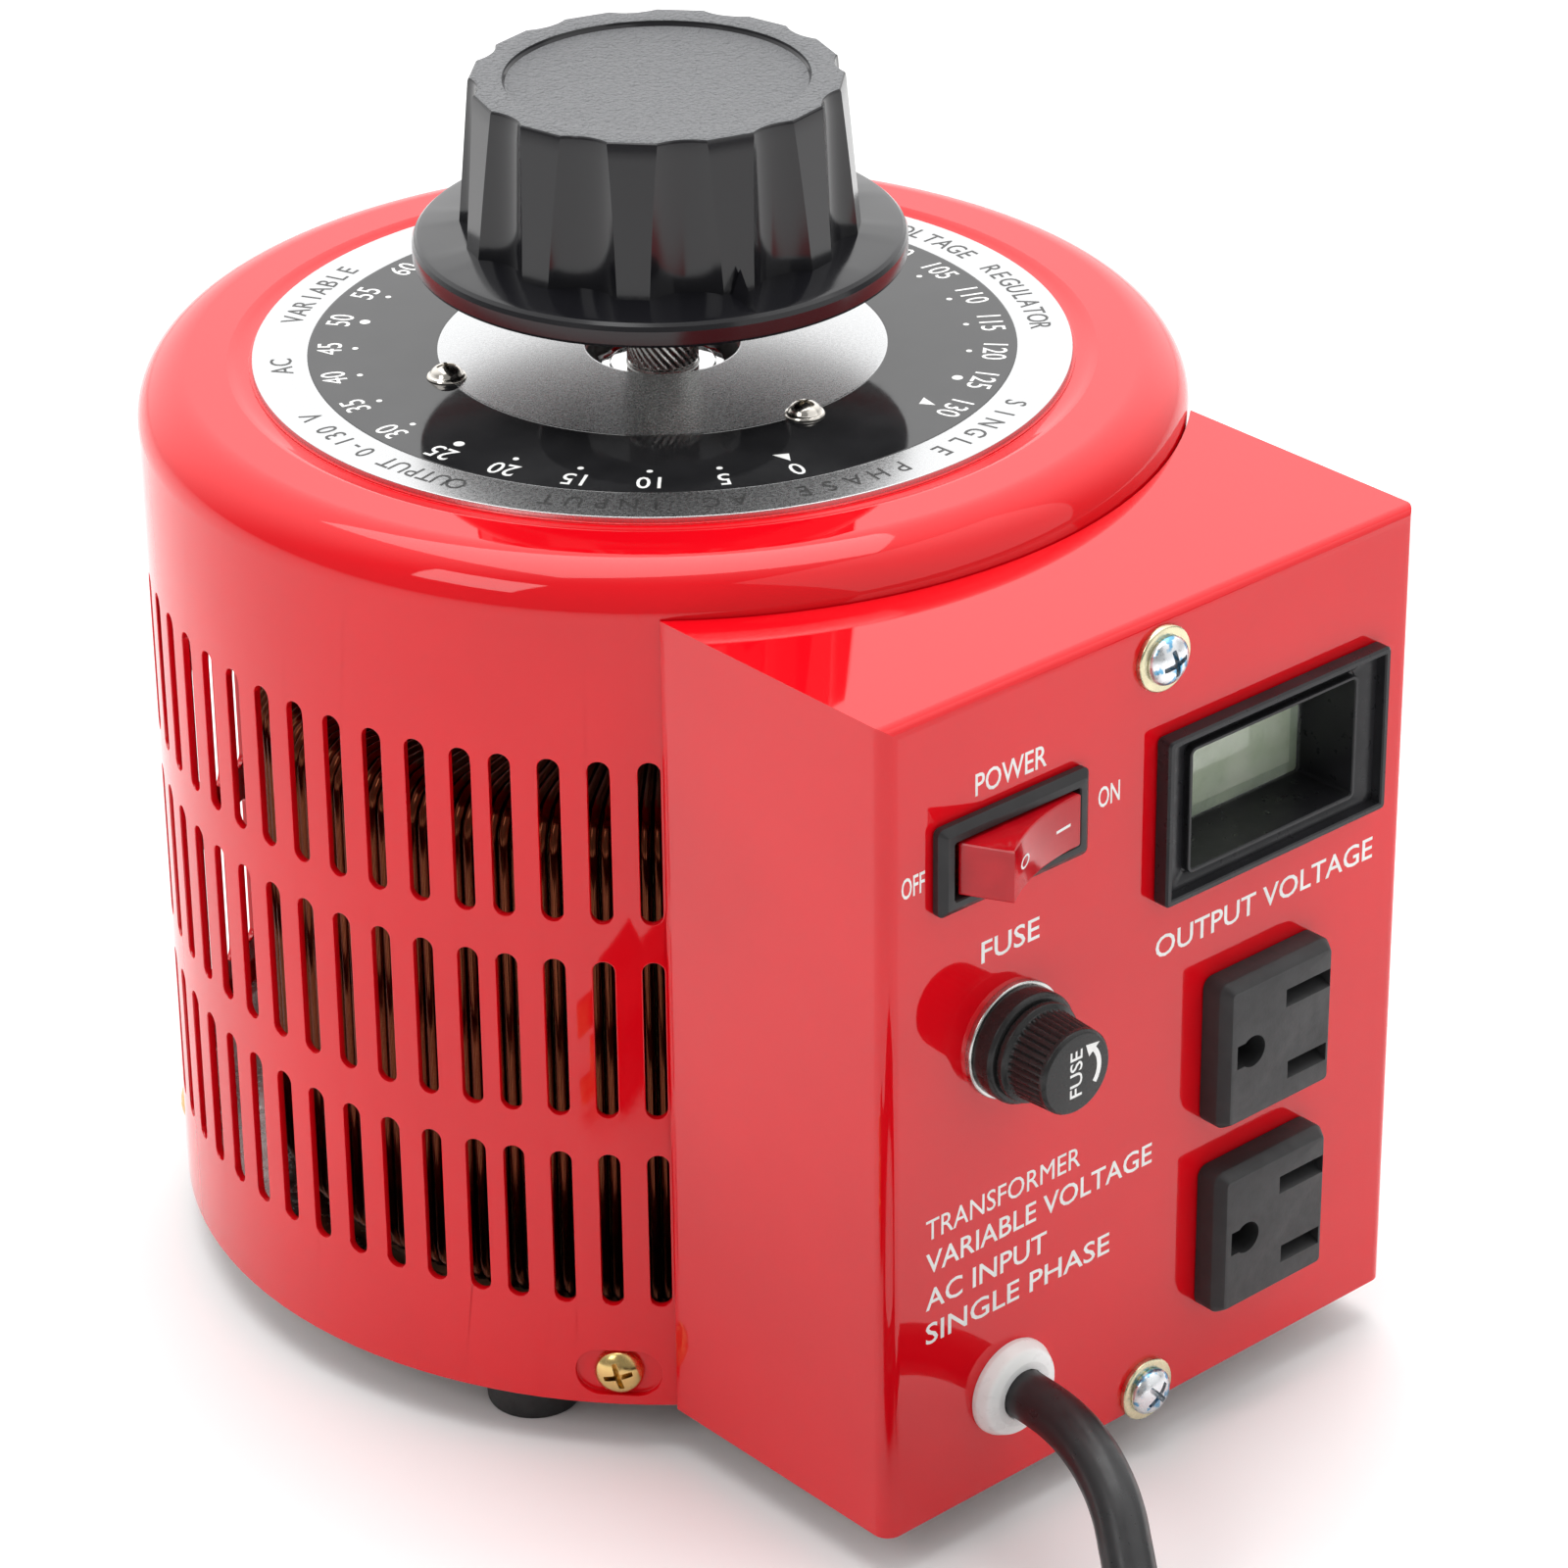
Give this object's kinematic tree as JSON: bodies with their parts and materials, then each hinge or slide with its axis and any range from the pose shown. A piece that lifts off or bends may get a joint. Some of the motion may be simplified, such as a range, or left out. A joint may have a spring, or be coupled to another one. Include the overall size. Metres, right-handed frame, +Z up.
{
  "type": "variable autotransformer",
  "caption": "Bench variable autotransformer: round vented shell with a dial and fluted knob on top, a control box with meter, switch, fuse and outlets, and a mains cord.",
  "frame": {"origin": "on the floor under the middle of the object, cord left out", "axes": "+Z up along the knob's shaft, -Y out of the control panel, +X to the right seen from the panel"},
  "size_m": [0.239, 0.3215, 0.1932],
  "materials": {
    "red_enamel": "gloss baked enamel",
    "plated_steel": "bright zinc plate",
    "yellow_zinc": "yellow zinc plate",
    "brass": "satin brass",
    "dial_print": "printed dial, gloss",
    "knob_plastic": "moulded phenolic",
    "black_plastic": "satin moulded",
    "feet_rubber": "matte rubber",
    "cord_rubber": "satin cord jacket",
    "white_nylon": "moulded nylon",
    "rocker_red": "translucent moulded",
    "lcd": "display cell",
    "clear": "clear",
    "silicon_steel": "wound strip",
    "paper": "insulating wrap",
    "copper": "enamelled wire",
    "phenolic": "laminate board",
    "carbon": "graphite",
    "cast_alloy": "cast and machined",
    "fuse_glass": "glass tube",
    "wire_insulation": "stranded lead",
    "ivory_plastic": "moulded block"
  },
  "bodies": {
    "frame": {"base_plate": "plated_steel", "rubber_feet": "feet_rubber", "foot_screws": "plated_steel", "shell": "red_enamel", "shell_screws": "brass", "dial_plate": "dial_print", "dial_screws": "plated_steel", "bearing_plate": "cast_alloy", "top_bushing": "brass", "bushing_nut": "plated_steel", "slip_contact": "brass", "stop_post": "plated_steel", "core": "silicon_steel", "core_wrap": "paper", "winding": "copper", "lower_insulator": "phenolic", "upper_insulator": "phenolic", "core_clamp": "plated_steel", "tie_studs": "plated_steel", "tie_nuts": "plated_steel", "center_column": "phenolic", "lower_bushing": "brass", "control_box": "red_enamel", "upper_bracket": "plated_steel", "panel_screws": "plated_steel", "panel_washers": "yellow_zinc", "meter_bezel": "black_plastic", "meter_case": "black_plastic", "meter_lcd": "lcd", "meter_window": "clear", "switch_housing": "black_plastic", "switch_terminals": "brass", "fuse_body": "black_plastic", "fuse_washer": "plated_steel", "fuse_nut": "black_plastic", "outlet_upper": "black_plastic", "outlet_lower": "black_plastic", "outlet_contacts": "brass", "cord_grommet": "white_nylon", "terminal_block": "ivory_plastic", "wiring": "wire_insulation", "cord_tube": "cord_rubber", "cord_coil": "cord_rubber", "cord_tie": "black_plastic", "plug_body": "cord_rubber", "plug_pins": "brass"},
    "rotor": {"knob": "knob_plastic", "knob_set_screw": "plated_steel", "shaft": "plated_steel", "rotor_hub": "cast_alloy", "brush_arm": "cast_alloy", "brush_holder": "brass", "slip_ring": "brass", "brush_spring": "plated_steel"},
    "brush": {"carbon_brush": "carbon"},
    "rocker": {"switch_rocker": "rocker_red"},
    "fuse_carrier": {"fuse_cartridge": "fuse_glass"},
    "fuse_cap": {"fuse_cap": "black_plastic"}
  },
  "joints": [
    {"name": "knob_turn", "type": "hinge", "parent": "frame", "child": "rotor", "pos_m": [0, 0.0205, 0.15], "axis": [0, 0, -1], "range_deg": [0, 324]},
    {"name": "brush_press", "type": "slide", "parent": "rotor", "child": "brush", "axis": [0, 0, 1], "range_m": [0, 0.002], "stiffness_N_per_m": 400, "springref_m": -0.004, "deforming": ["brush_spring"]},
    {"name": "rocker_tilt", "type": "hinge", "parent": "frame", "child": "rocker", "pos_m": [-0.0301, -0.087, 0.1169], "axis": [0, 0, -1], "range_deg": [0, 36]},
    {"name": "fuse_pull", "type": "slide", "parent": "frame", "child": "fuse_carrier", "axis": [0, -1, 0], "range_m": [0, 0.036]},
    {"name": "fuse_cap_turn", "type": "hinge", "parent": "fuse_carrier", "child": "fuse_cap", "pos_m": [-0.0289, -0.098, 0.084], "axis": [0, -1, 0], "range_deg": [0, 90]}
  ]
}
